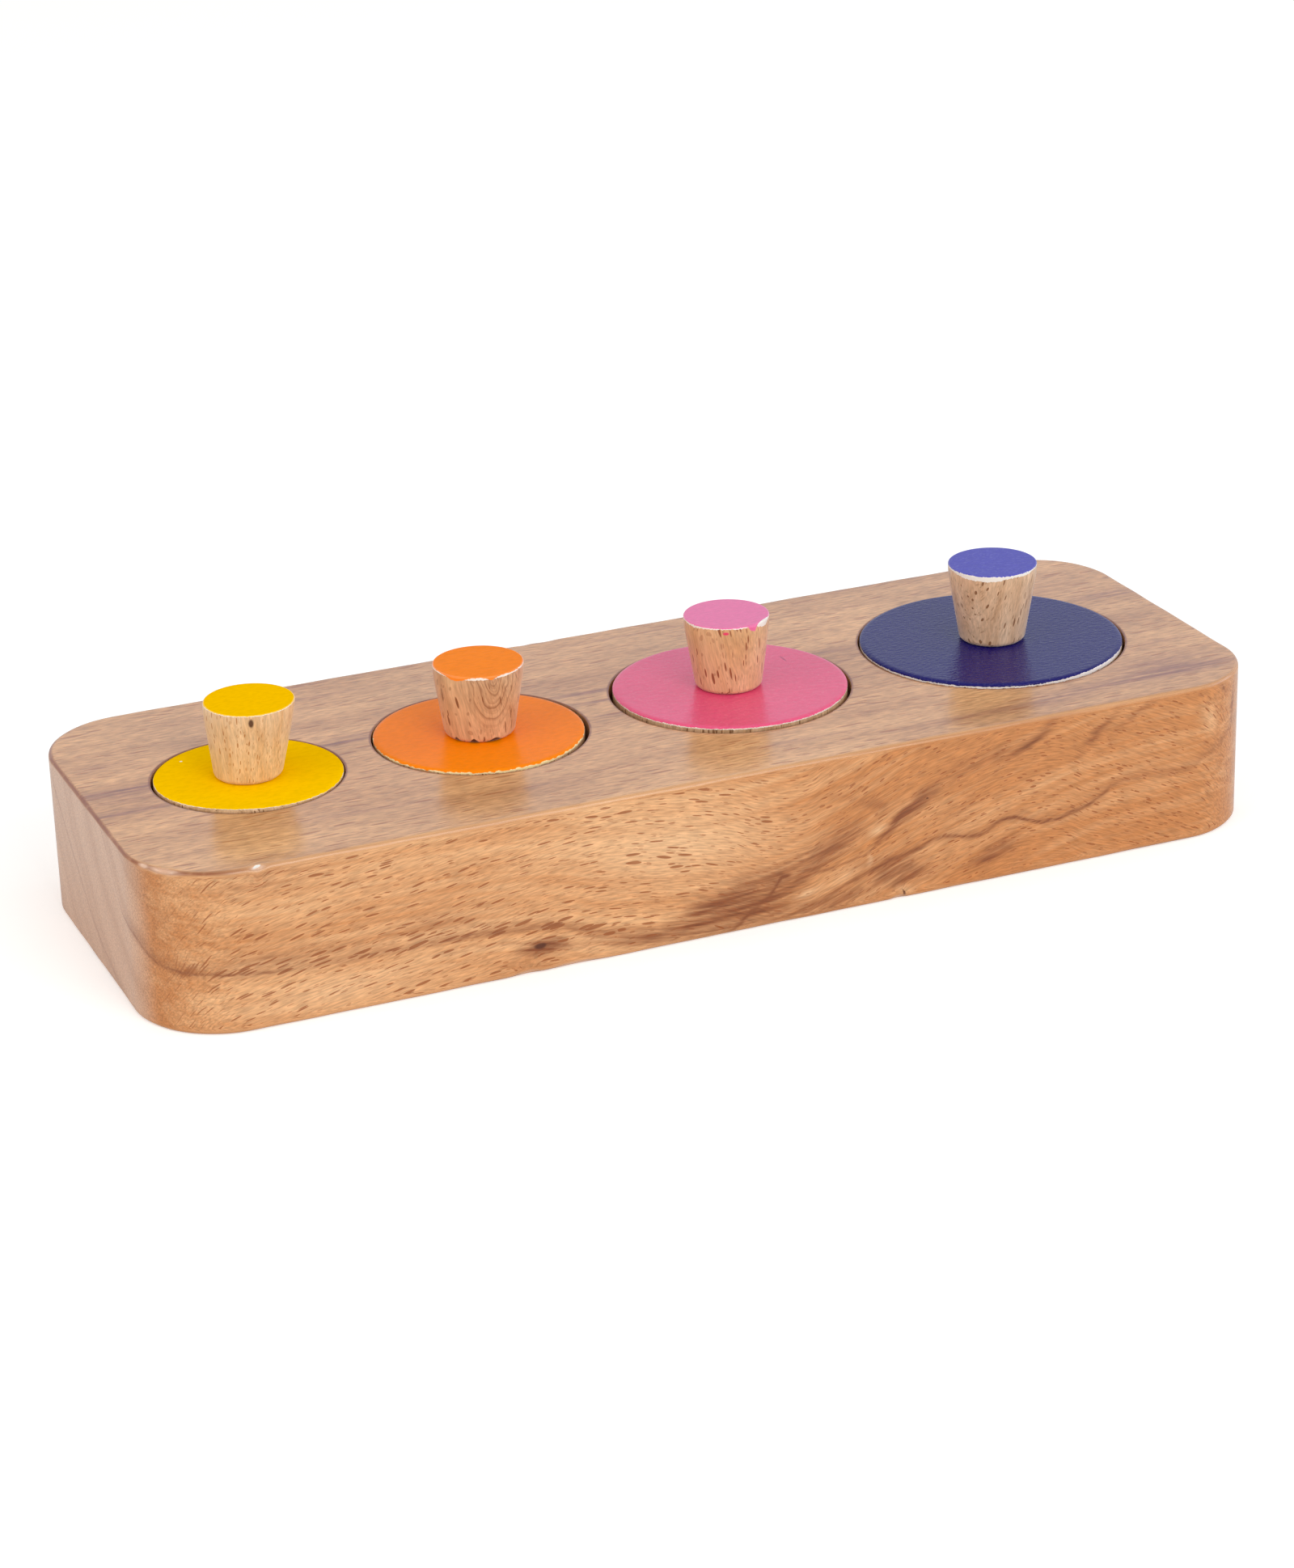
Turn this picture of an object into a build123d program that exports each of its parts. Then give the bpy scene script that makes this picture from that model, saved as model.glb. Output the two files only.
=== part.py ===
from build123d import *
import math
import os

# Cylinder puzzle: a beech block with four blind sockets in a row. Each socket holds a turned
# cylinder, and each cylinder lifts straight out by the tapered knob pinned and glued to its top.
# Millimetres, +Z up, X along the row with the smallest cylinder at -X, front face at -Y.
# The origin is the middle of the block's underside.

# Block: its length, width and height follow from the sockets and the wood left round them
socket_depth = 28.0
floor_thickness = 11.2
left_end_wall = 16.2
yellow_orange_web = 9.1
orange_pink_web = 9.5
pink_blue_web = 8.7
right_end_wall = 16.5
side_wall = 18.0
corner_radius = 21.5
edge_break = 0.8
drill_point_diameter = 5.0
drill_point_depth = 2.0

# Each cylinder: slack is its socket's diameter less its own, stand is how far its top is above
# the block, and settled is where it has come to rest in its socket along X.
# Its knob is measured at top, foot and height, and sits as glued, a little off centre along X.
yellow_diameter = 43.8
yellow_slack = 0.9
yellow_stand = 0.45
yellow_settled = 0.15
yellow_knob_top = 21.1
yellow_knob_foot = 15.7
yellow_knob_height = 18.0
yellow_knob_off_centre = 0.9

orange_diameter = 49.8
orange_slack = 1.5
orange_stand = 0.6
orange_settled = -0.35
orange_knob_top = 21.4
orange_knob_foot = 16.4
orange_knob_height = 17.4
orange_knob_off_centre = 0.5

pink_diameter = 56.6
pink_slack = 1.7
pink_stand = 1.1
pink_settled = 0.0
pink_knob_top = 20.6
pink_knob_foot = 16.0
pink_knob_height = 18.0
pink_knob_off_centre = -0.5

blue_diameter = 64.6
blue_slack = 1.1
blue_stand = 0.9
blue_settled = -0.15
blue_knob_top = 21.8
blue_knob_foot = 16.0
blue_knob_height = 19.6
blue_knob_off_centre = 0.4

# Turning details that all four share: a knob stands upright for a short way under its top face
cylinder_foot_chamfer = 0.9
knob_foot_chamfer = 0.5
knob_upright_height = 2.4

# Fluted dowel pin that fixes each knob, with a glue film round it and glue space at its ends
dowel_diameter = 8.0
dowel_length = 24.0
dowel_glue_film = 0.05
dowel_end_space = 1.0
flute_count = 12
flute_depth = 0.45

# How far every cutting shape runs past the face that it opens
cut_overrun = 2.0

block_height = floor_thickness + socket_depth
yellow_socket = yellow_diameter + yellow_slack
orange_socket = orange_diameter + orange_slack
pink_socket = pink_diameter + pink_slack
blue_socket = blue_diameter + blue_slack
block_width = max(yellow_socket, orange_socket, pink_socket, blue_socket) + 2 * side_wall
block_length = (
    left_end_wall
    + yellow_socket
    + yellow_orange_web
    + orange_socket
    + orange_pink_web
    + pink_socket
    + pink_blue_web
    + blue_socket
    + right_end_wall
)

# Socket centres along X, each counted on from the one before it
yellow_place = -block_length / 2 + left_end_wall + yellow_socket / 2
orange_place = yellow_place + yellow_socket / 2 + yellow_orange_web + orange_socket / 2
pink_place = orange_place + orange_socket / 2 + orange_pink_web + pink_socket / 2
blue_place = pink_place + pink_socket / 2 + pink_blue_web + blue_socket / 2

dowel_bore = dowel_diameter + 2 * dowel_glue_film
dowel_bore_depth = dowel_length / 2 + dowel_end_space


def turned(outline):
    """A solid turned about Z from a closed half outline of (radius, height) points."""
    with BuildPart() as turning:
        with BuildSketch(Plane.XZ):
            with BuildLine():
                Polyline(*outline, close=True)
            make_face()
        revolve(axis=Axis.Z)
    return turning.part


def socket_cut(diameter):
    """What the drill takes out: a flat-floored bore with the dimple of its centre point."""
    radius = diameter / 2
    top = block_height + cut_overrun
    outline = [
        (0, floor_thickness - drill_point_depth),
        (drill_point_diameter / 2, floor_thickness),
        (radius, floor_thickness),
        (radius, top),
        (0, top),
    ]
    return turned(outline)


def puzzle_block():
    """The beech block: a board with rounded corners and broken edges, drilled with the row of sockets."""
    with BuildPart() as block:
        with BuildSketch():
            RectangleRounded(block_length, block_width, corner_radius)
        extrude(amount=block_height)
        underside = block.faces().sort_by(Axis.Z)[0]
        top = block.faces().sort_by(Axis.Z)[-1]
        chamfer(underside.edges() + top.edges(), edge_break)
    body = block.part
    sockets = [
        (yellow_place, yellow_socket),
        (orange_place, orange_socket),
        (pink_place, pink_socket),
        (blue_place, blue_socket),
    ]
    for place, diameter in sockets:
        body -= Pos(place, 0, 0) * socket_cut(diameter)
    return body


def cylinder(diameter, stand, knob_off_centre):
    """A cylinder with a chamfered foot, bored from its top for the knob's dowel."""
    radius = diameter / 2
    height = socket_depth + stand
    outline = [
        (0, 0),
        (radius - cylinder_foot_chamfer, 0),
        (radius, cylinder_foot_chamfer),
        (radius, height),
        (0, height),
    ]
    body = turned(outline)
    bore_height = dowel_bore_depth + cut_overrun
    bore_middle = height + cut_overrun - bore_height / 2
    return body - Pos(knob_off_centre, 0, bore_middle) * Cylinder(dowel_bore / 2, bore_height)


def knob(top_diameter, foot_diameter, height):
    """A knob that flares from its foot and turns upright under its flat top, bored from below."""
    top_radius = top_diameter / 2
    foot_radius = foot_diameter / 2
    outline = [
        (dowel_bore / 2, 0),
        (foot_radius - knob_foot_chamfer, 0),
        (foot_radius, knob_foot_chamfer),
        (top_radius, height - knob_upright_height),
        (top_radius, height),
        (0, height),
        (0, dowel_bore_depth),
        (dowel_bore / 2, dowel_bore_depth),
    ]
    return turned(outline)


def dowel():
    """A beech pin with V-shaped flutes, centred on the origin along Z."""
    radius = dowel_diameter / 2
    pin = Cylinder(radius, dowel_length)
    cutter_side = 2 * flute_depth
    flute_ring = radius - flute_depth + cutter_side / math.sqrt(2)
    with BuildPart() as flutes:
        with PolarLocations(flute_ring, flute_count):
            Box(cutter_side, cutter_side, dowel_length + 2 * cut_overrun, rotation=(0, 0, 45))
    return pin - flutes.part


def write(node, shape):
    """Writes one node's solid to its own file."""
    export_step(shape, "parts/" + node + ".step")


os.makedirs("parts", exist_ok=True)
write("puzzle_block", puzzle_block())

yellow = (yellow_place + yellow_settled, yellow_diameter, yellow_stand)
orange = (orange_place + orange_settled, orange_diameter, orange_stand)
pink = (pink_place + pink_settled, pink_diameter, pink_stand)
blue = (blue_place + blue_settled, blue_diameter, blue_stand)
yellow_knob = (yellow_knob_top, yellow_knob_foot, yellow_knob_height, yellow_knob_off_centre)
orange_knob = (orange_knob_top, orange_knob_foot, orange_knob_height, orange_knob_off_centre)
pink_knob = (pink_knob_top, pink_knob_foot, pink_knob_height, pink_knob_off_centre)
blue_knob = (blue_knob_top, blue_knob_foot, blue_knob_height, blue_knob_off_centre)
pieces = [
    ("yellow", *yellow, *yellow_knob),
    ("orange", *orange, *orange_knob),
    ("pink", *pink, *pink_knob),
    ("blue", *blue, *blue_knob),
]
for colour, place, diameter, stand, knob_top, knob_foot, knob_height, off_centre in pieces:
    top_face = block_height + stand
    knob_place = place + off_centre
    bored = cylinder(diameter, stand, off_centre)
    write(colour + "_cylinder", Pos(place, 0, floor_thickness) * bored)
    write(colour + "_knob", Pos(knob_place, 0, top_face) * knob(knob_top, knob_foot, knob_height))
    write(colour + "_dowel", Pos(knob_place, 0, top_face) * dowel())
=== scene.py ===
import bmesh
import bpy
import numpy as np
from math import cos, pi, radians, sin
from mathutils import Matrix, Vector


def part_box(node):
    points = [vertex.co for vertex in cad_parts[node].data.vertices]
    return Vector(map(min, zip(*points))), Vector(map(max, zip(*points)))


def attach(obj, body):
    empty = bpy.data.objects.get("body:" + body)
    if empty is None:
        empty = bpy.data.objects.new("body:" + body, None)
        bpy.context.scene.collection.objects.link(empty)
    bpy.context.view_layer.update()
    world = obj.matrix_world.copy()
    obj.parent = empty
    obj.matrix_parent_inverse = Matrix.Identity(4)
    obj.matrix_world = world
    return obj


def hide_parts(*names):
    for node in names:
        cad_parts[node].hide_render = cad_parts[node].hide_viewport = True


# Cylinder puzzle: a beech block with four painted, knobbed cylinders standing in its sockets.
# Metres in the CAD's frame: +Z up, X along the row, front face at -Y, origin under the block.

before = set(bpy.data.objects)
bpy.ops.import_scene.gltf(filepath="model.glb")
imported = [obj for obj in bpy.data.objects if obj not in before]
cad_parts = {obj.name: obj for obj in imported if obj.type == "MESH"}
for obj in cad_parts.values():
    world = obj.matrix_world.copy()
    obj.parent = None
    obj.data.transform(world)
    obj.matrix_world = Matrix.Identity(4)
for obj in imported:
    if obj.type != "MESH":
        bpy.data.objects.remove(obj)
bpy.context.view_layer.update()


# The block: one planed board of beech. Its four corners are sanded round and its arrises are
# rubbed down by hand. It is drilled with a row of four sockets and has a thin clear lacquer.

mm = 0.001
colours = ("yellow", "orange", "pink", "blue")
socket_slack = dict(yellow=0.9 * mm, orange=1.5 * mm, pink=1.7 * mm, blue=1.1 * mm)
settled = dict(yellow=0.15 * mm, orange=-0.35 * mm, pink=0, blue=-0.15 * mm)
block_low, block_high = (np.array(corner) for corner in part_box("puzzle_block"))
block_length, block_width, block_height = block_high - block_low
corner_radius = 21.5 * mm
arris_radius = 1.0 * mm
arris_unevenness = 0.22 * mm
mouth_radius = 0.3 * mm
socket_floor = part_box("blue_cylinder")[0][2]
drill_point_radius = 2.5 * mm
drill_point_depth = 2.0 * mm

# The mesh's own rows: the step round the outline, the insets of the flats' rows, and the rows that
# a wall, a rolled arris, a mouth and a socket have. Top shares go from the border to the mouth.
outline_step = 0.75 * mm
underside_inset = 8.0 * mm
border_inset = 3.0 * mm
flat_margin = 0.4 * mm
floor_margin = 0.3 * mm
wall_rows = 9
arris_roll = np.radians([0, 11, 22, 34, 45, 56, 68, 79, 90])[:, None]
mouth_roll = np.radians([90, 68, 45, 22, 0])
socket_depths = np.array([0.5, 2, 5, 9, 14, 19, 24, 27.5]) * mm
top_shares = np.array([1.0, 0.75, 0.5, 0.3, 0.15])[:, None, None]
lacquered_mouth_rows = 2

socket_place = {}
socket_radius = {}
for colour in colours:
    low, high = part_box(colour + "_cylinder")
    socket_place[colour] = (low[0] + high[0]) / 2 - settled[colour]
    socket_radius[colour] = (high[0] - low[0] + socket_slack[colour]) / 2
web_middles = [
    (socket_place[a] + socket_radius[a] + socket_place[b] - socket_radius[b]) / 2
    for a, b in zip(colours, colours[1:])
]


def evenly(start, end, step):
    """Even values from start towards end, about a step apart, without the end itself."""
    return np.linspace(start, end, max(1, round(abs(end - start) / step)), endpoint=False)


def outline():
    """The board's outline as spine points and outward normals, counter-clockwise from above.

    The spine is the rectangle through the corners' centres, so the outline at an inset is
    spine + (corner radius - inset) * normal. The long runs are divided at the webs' middles.
    """
    half_x = block_length / 2 - corner_radius
    half_y = block_width / 2 - corner_radius
    stops = [-half_x, *web_middles, half_x]
    along = np.concatenate([evenly(a, b, outline_step) for a, b in zip(stops, stops[1:])])
    stops = stops[::-1]
    home = np.concatenate([evenly(a, b, outline_step) for a, b in zip(stops, stops[1:])])
    side = evenly(-half_y, half_y, outline_step)
    turn = evenly(0, pi / 2, outline_step / corner_radius)
    stretches = [
        (along, -half_y, -pi / 2),
        (half_x, -half_y, turn - pi / 2),
        (half_x, side, 0),
        (half_x, half_y, turn),
        (home, half_y, pi / 2),
        (-half_x, half_y, turn + pi / 2),
        (-half_x, -side, pi),
        (-half_x, -half_y, turn + pi),
    ]
    stretches = [np.broadcast_arrays(*map(np.atleast_1d, stretch)) for stretch in stretches]
    x, y, angle = (np.concatenate(part) for part in zip(*stretches))
    return np.stack([x, y], axis=-1), np.stack([np.cos(angle), np.sin(angle)], axis=-1)


def bump_at(place, spot, reach):
    """A smooth hump of height 1 at a spot: exp of minus the squared distance over the reach."""
    return np.exp(-np.sum((place - np.array(spot)) ** 2, axis=-1) / reach**2)


# Chips knocked out of the arrises: place on the outline, reach along it and depth
top_chips = [
    ((-135.0 * mm, -43.2 * mm), 3.0 * mm, 1.0 * mm),
    ((-138.2 * mm, -38.6 * mm), 1.2 * mm, 0.5 * mm),
    ((-115.4 * mm, -50.8 * mm), 1.3 * mm, 0.9 * mm),
    ((-8.0 * mm, 50.8 * mm), 1.8 * mm, 0.7 * mm),
    ((-14.0 * mm, 50.8 * mm), 1.2 * mm, 0.5 * mm),
]
foot_chips = [
    ((-54.0 * mm, -50.8 * mm), 2.2 * mm, 0.8 * mm),
    ((-42.0 * mm, -50.8 * mm), 4.0 * mm, 0.5 * mm),
    ((40.0 * mm, -50.8 * mm), 1.2 * mm, 0.8 * mm),
]
chip_spread = radians(28)
# Sines of these many humps round the board make an arris uneven
arris_waves = (5, 13, 29, 47)
# The saw's scorch on the left end's top arris starts here and takes this long to grow. The drill
# scorches the sockets' mouths.
scorch_start = -110 * mm
scorch_run = 16 * mm
arris_scorch = 0.8
mouth_scorch = 0.9


def arris(chips, phase):
    """An arris rolled round from the wall (0) to the flat (90 degrees), as insets and depths.

    Inset = r * (1 - cos t) and depth = r * (1 - sin t), where r wanders along the outline. Each
    chip pushes the roll's middle inwards at 45 degrees. The last array is 1 where a chip is deepest.
    """
    spine, normal = outline()
    place = spine + corner_radius * normal
    lap = np.linspace(0, 2 * pi, len(place), endpoint=False)
    wander = sum(np.sin(humps * lap + phase * humps) for humps in arris_waves) / len(arris_waves)
    radius = arris_radius + arris_unevenness * wander
    dent = np.zeros((len(arris_roll), len(place)))
    fresh = np.zeros_like(dent)
    for spot, reach, depth in chips:
        hump = bump_at(place, spot, reach) * np.exp(-(((arris_roll - pi / 4) / chip_spread) ** 2))
        dent = np.maximum(dent, depth * hump)
        fresh = np.maximum(fresh, hump)
    inset = radius * (1 - np.cos(arris_roll)) + dent * sin(pi / 4)
    depth = radius * (1 - np.sin(arris_roll)) + dent * sin(pi / 4)
    return inset, depth, fresh


def board_skin():
    """The board's outside as closed rings from the underside up to the top's border, and its marks.

    A ring is the outline at that row's inset and height. The underside starts from its middle
    line, which is the spine with its Y brought to nought and its X kept clear of the ends.
    The marks are 1 where a chip is fresh, and where the left end's top arris is scorched.
    """
    spine, normal = outline()
    place = spine + corner_radius * normal
    foot_inset, foot_depth, foot_fresh = arris(foot_chips, phase=2.0)
    top_inset, top_depth, top_fresh = arris(top_chips, phase=5.0)
    ring = np.ones((1, len(spine)))
    flat = arris_radius + arris_unevenness + flat_margin
    wall = np.linspace(flat, block_height - flat, wall_rows)[:, None] * ring
    inset = np.concatenate([
        corner_radius * ring,
        underside_inset * ring,
        flat * ring,
        foot_inset[::-1],
        0 * wall,
        top_inset,
        flat * ring,
        border_inset * ring,
    ])
    under, over = 0 * inset[:3], 0 * inset[:2]
    height = np.concatenate([under, foot_depth[::-1], wall, block_height - top_depth, block_height + over])
    fresh = np.concatenate([under, foot_fresh[::-1], 0 * wall, top_fresh, over])
    left_end = np.clip((scorch_start - place[:, 0]) / scorch_run, 0, 1) * np.sin(2 * arris_roll)
    scorch = np.concatenate([under, 0 * foot_inset, 0 * wall, arris_scorch * left_end, over])
    plan = spine + (corner_radius - inset)[..., None] * normal
    rings = np.concatenate([plan, height[..., None]], axis=-1)
    end = (block_length - block_width) / 2
    middle = np.zeros_like(rings[:1])
    middle[..., 0] = np.clip(spine[:, 0], -end, end)
    rings = np.concatenate([middle, rings])
    fresh, scorch = (np.concatenate([0 * ring, mark]) for mark in (fresh, scorch))
    return rings, fresh, scorch


def socket_skin(colour, border):
    """The top round one socket and the socket itself, with the number of its mouth's first row.

    The cell's border points are sorted by their bearing from the socket's centre. Each row of the
    top lies part of the way from the border to the mouth on the same bearing. The rows then roll
    over the mouth, go down the wall, in along the floor and down into the drill point's dimple.
    """
    place = socket_place[colour]
    radius = socket_radius[colour]
    number = colours.index(colour)
    edges = [-1.0, *web_middles, 1.0][number:number + 2]
    tiny = outline_step / 10
    inside = border[(border[:, 0] > edges[0] - tiny) & (border[:, 0] < edges[1] + tiny)]
    reach = block_width / 2 - border_inset
    run = evenly(-reach, reach, outline_step)[1:]
    webs = [np.stack([0 * run + edge, run], axis=-1) for edge in edges if abs(edge) < 1]
    cell = np.concatenate([inside, *webs]) - (place, 0)
    bearing = np.arctan2(cell[:, 1], cell[:, 0])
    order = np.argsort(bearing)
    cell, bearing = cell[order], bearing[order]
    ray = np.stack([np.cos(bearing), np.sin(bearing)], axis=-1)
    mouth = (radius + mouth_radius) * ray
    top = np.concatenate([mouth + top_shares * (cell - mouth), (mouth + flat_margin * ray)[None]])
    inwards = np.linspace(radius * 0.8, drill_point_radius * 1.2, 5)
    floor = np.array([radius, radius - floor_margin, *inwards, drill_point_radius])
    radii = np.concatenate([
        radius + mouth_radius * (1 - np.cos(mouth_roll)),
        0 * socket_depths + radius,
        floor,
        drill_point_radius * np.array([0.5, 0]),
    ])
    heights = np.concatenate([
        block_height - mouth_radius * (1 - np.sin(mouth_roll)),
        block_height - mouth_radius - socket_depths,
        0 * floor + socket_floor,
        socket_floor - drill_point_depth * np.array([0.5, 1]),
    ])
    plan = np.concatenate([top, radii[:, None, None] * ray]) + (place, 0)
    height = np.concatenate([np.full(len(top), block_height), heights])
    height = np.broadcast_to(height[:, None, None], plan.shape[:2] + (1,))
    return np.concatenate([plan, height], axis=-1), len(top)


merge_distance = 0.002 * mm
sharp_angle = radians(38)


def closed_mesh(name, grids, marks, slots):
    """One closed mesh from grids of rings, each ring counter-clockwise seen from above.

    A face joins two neighbours of a ring to the two of the next ring. Points that coincide are
    merged, which closes poles and seams. Marks are values per point, slots material numbers per ring.
    """
    points, faces, values, material = [], [], [], []
    start = 0
    for grid, mark, slot in zip(grids, marks, slots):
        rows, columns = grid.shape[:2]
        here = start + np.arange(rows * columns).reshape(rows, columns)
        after = np.roll(here, -1, axis=1)
        faces.append(np.stack([here[:-1], after[:-1], after[1:], here[1:]], axis=-1).reshape(-1, 4))
        material.append(np.repeat(slot[:-1], columns))
        points.append(grid.reshape(-1, 3))
        spread = [np.broadcast_to(value, (rows, columns)) for value in mark.values()]
        values.append(np.stack(spread, axis=-1).reshape(-1, len(mark)))
        start += rows * columns
    mesh = bpy.data.meshes.new(name)
    mesh.from_pydata(np.concatenate(points), [], np.concatenate(faces).tolist())
    mesh.polygons.foreach_set("material_index", np.concatenate(material).astype(np.int32))
    for label, column in zip(marks[0], np.concatenate(values).T):
        layer = mesh.attributes.new(label, "FLOAT", "POINT")
        layer.data.foreach_set("value", np.ascontiguousarray(column, dtype=np.float32))
    work = bmesh.new()
    work.from_mesh(mesh)
    bmesh.ops.remove_doubles(work, verts=work.verts, dist=merge_distance)
    work.to_mesh(mesh)
    work.free()
    mesh.shade_smooth()
    mesh.set_sharp_from_angle(angle=sharp_angle)
    piece = bpy.data.objects.new(name, mesh)
    bpy.context.scene.collection.objects.link(piece)
    return piece


board, board_fresh, board_scorch = board_skin()
grids = [board]
marks = [dict(fresh=board_fresh, scorch=board_scorch)]
slots = [np.zeros(len(board))]
for colour in colours:
    rings, mouth_row = socket_skin(colour, board[-1, :, :2])
    row = np.arange(len(rings))
    grids.append(rings)
    marks.append(dict(fresh=0.0, scorch=mouth_scorch * (row >= mouth_row)[:, None]))
    slots.append((row >= mouth_row + lacquered_mouth_rows).astype(float))
block = closed_mesh("lacquered_beech_block", grids, marks, slots)


def linear(code):
    """An sRGB hex colour as linear red, green, blue and 1, by the sRGB curve."""
    values = np.array([int(code[i:i + 2], 16) for i in (1, 3, 5)]) / 255
    low, high = values / 12.92, ((values + 0.055) / 1.055) ** 2.4
    return (*np.where(values <= 0.04045, low, high), 1)


def add(tree, kind, inputs=(), output=0, **settings):
    """Adds a node with its settings, feeds its inputs values or outputs, and gives one output."""
    node = tree.nodes.new("ShaderNode" + kind)
    for name, value in settings.items():
        setattr(node, name, value)
    for name, value in inputs.items() if isinstance(inputs, dict) else enumerate(inputs):
        if isinstance(value, bpy.types.NodeSocket):
            tree.links.new(value, node.inputs[name])
        else:
            node.inputs[name].default_value = value
    return node.outputs[output] if node.outputs else None


# The settings of a map range with soft ends. A Mix node of colours takes its share at input 0 and
# its colours at 6 and 7, and gives the mix at output 2.
smooth = dict(interpolation_type="SMOOTHSTEP")


def new_material(name):
    """An empty node material and its tree."""
    material = bpy.data.materials.new(name)
    material.use_nodes = True
    material.node_tree.nodes.clear()
    return material, material.node_tree


def place_in_mm(tree):
    """The place on a piece in mm, from its Object coordinates."""
    place = add(tree, "TexCoord", output="Object")
    return add(tree, "VectorMath", {0: place, "Scale": 1 / mm}, operation="SCALE")


# Beech's own measures in mm: the spacing of its rays along the grain, across and deep into the
# wood, with the smallest and largest radius that a ray draws in that spacing, as on the real wood,
# and the slope that they lie at. Its fibres are too fine to show, so they are drawn 0.4 mm wide.
coarse_rays = ((5.4, 0.46, 8), 0.1, 0.385)
fine_rays = ((2.4, 0.3, 3.5), -0.08, 0.42)
ray_slope = radians(35)
fibre_size = (3.4, 0.4, 0.4)
band_size = (85, 4.5, 3.2)
# The share of the rays that draw the smallest radius, the weights that make one draw of a cell's
# random colour, and how soft a fleck's edge is, as a share of the spacing
smallest_share = 0.15
draw_weights = (7.3, 5.1, 3.7)
fleck_edge = 0.07


def ray_flecks(tree, grain, rays, scale=1.0, shrink=0.0):
    """Flecks, 0 to 1, at a place in mm whose X runs along the grain.

    A fleck is where the distance to the point of a stretched cell is under the radius that the
    cell draws at random, less the shrink.
    """
    spacing, smallest, largest = rays
    cells = add(tree, "Mapping", {
        "Vector": grain,
        "Rotation": (ray_slope, 0, 0),
        "Scale": tuple(scale * side for side in spacing),
    }, vector_type="TEXTURE")
    distance = add(tree, "TexVoronoi", {"Vector": cells, "Scale": 1})
    cell_colour = distance.node.outputs["Color"]
    drawn = add(tree, "VectorMath", (cell_colour, draw_weights), "Value", operation="DOT_PRODUCT")
    drawn = add(tree, "Math", (drawn,), operation="FRACT")
    radius = {"Value": drawn, "From Min": smallest_share, "To Min": smallest, "To Max": largest}
    radius = add(tree, "Math", (add(tree, "MapRange", radius), shrink), operation="SUBTRACT")
    inside = add(tree, "Math", (radius, distance), operation="SUBTRACT")
    return add(tree, "MapRange", {"Value": inside, "From Max": fleck_edge}, **smooth)


def grain_noise(tree, grain, size, low=0.3, high=0.7, detail=2):
    """Noise drawn out to a size in mm along, across and into the grain, from low (0) to high (1)."""
    stretched = add(tree, "Mapping", {"Vector": grain, "Scale": size}, vector_type="TEXTURE")
    noise = add(tree, "TexNoise", {"Vector": stretched, "Scale": 1, "Detail": detail})
    return add(tree, "MapRange", {"Value": noise, "From Min": low, "From Max": high})


def wandering(tree, grain, size, reach):
    """A place in mm moved by noise of a size, by up to half the reach each way."""
    stretched = add(tree, "Mapping", {"Vector": grain, "Scale": size}, vector_type="TEXTURE")
    noise = add(tree, "TexNoise", {"Vector": stretched, "Scale": 1, "Detail": 2}, output="Color")
    noise = add(tree, "VectorMath", (noise, (0.5, 0.5, 0.5)), operation="SUBTRACT")
    return add(tree, "VectorMath", (noise, reach, grain), operation="MULTIPLY_ADD")


def stained(tree, ground, stains):
    """A colour under stains laid over it one after another, each a share and an sRGB hex colour."""
    for share, code in stains:
        ground = add(tree, "Mix", {0: share, 6: ground, 7: linear(code)}, 2, data_type="RGBA")
    return ground


def shaded(tree, ground, pattern, first, last):
    """A colour times a factor that goes from first to last as a pattern goes from 0 to 1."""
    factor = add(tree, "MapRange", {"Value": pattern, "To Min": first, "To Max": last})
    inputs = {0: 1.0, 6: ground, 7: factor}
    return add(tree, "Mix", inputs, 2, data_type="RGBA", blend_type="MULTIPLY")


def beech_relief(tree, flecks, fibres, fleck_depth, fibre_depth):
    """The normal of a coat over beech: flecks and fibres sink a little, in metres."""
    sunk = {"Strength": 1, "Distance": fleck_depth, "Height": flecks}
    sunk = add(tree, "Bump", sunk, invert=True)
    sunk = {"Strength": 1, "Distance": fibre_depth, "Height": fibres, "Normal": sunk}
    return add(tree, "Bump", sunk, invert=True)


# The board's own figure, in mm. Reach runs round the front from its left edge and goes on round
# the corners, and height is above the underside. Flecks and bands are carried up and down by flows.
path_reach = (-90, 300)
path_rise = 40
fleck_flow = [
    (-10, 8), (85, 27), (97, 28.6), (108, 28.8), (122, 27.3), (135, 24.5), (150, 20), (155, 19.5),
    (160, 21), (200, 34), (215, 36), (230, 32), (280, 9),
]
band_flow = [
    (-20, 20.5), (0, 16), (20, 14), (45, 13), (75, 12.5), (92, 10.5), (105, 7), (125, 4), (143, 4),
    (155, 6), (165, 9), (175, 13), (190, 19), (205, 24), (225, 30), (245, 33), (280, 33),
]
# Thin lines: path, soft width above and below it, where it starts and ends, and strength
ring_line = [
    (-40, 39.5), (-36, 34.9), (-32.5, 30.6), (-29.1, 26.3), (-24.4, 22.3), (-18.5, 20.7), (-14.1, 18.9),
    (-10.4, 17.2), (-6.3, 16), (-2, 15.2), (4, 14.9), (10, 14.8), (19, 14.2), (30, 13.2), (45, 12.7),
    (75, 12.5), (85, 11.5), (92, 11), (97, 9.5), (104, 7),
]
second_ring = [(-85, 39), (-70, 24), (-60, 15.7), (-50, 8.2), (-33, 1.5)]
knot_line = [(66, 9.6), (72, 9.2), (80, 8.8), (88, 7.3), (92, 6), (97, 5.2), (103, 3.6)]
wave_line = [
    (159, 3), (163, 5), (170, 7.8), (176, 10), (181, 11.2), (185, 12), (190, 13.4), (193, 13.5),
    (199, 12.3), (204, 13.5), (209, 15.2), (212, 14.5), (216, 13), (220, 12.4), (225, 13), (230, 14.5),
    (234, 16.5), (238, 18.5), (245, 19.2), (250, 18.8), (255, 18.5), (262, 21), (268, 22.4), (272, 24),
    (277, 26.5),
]
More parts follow.
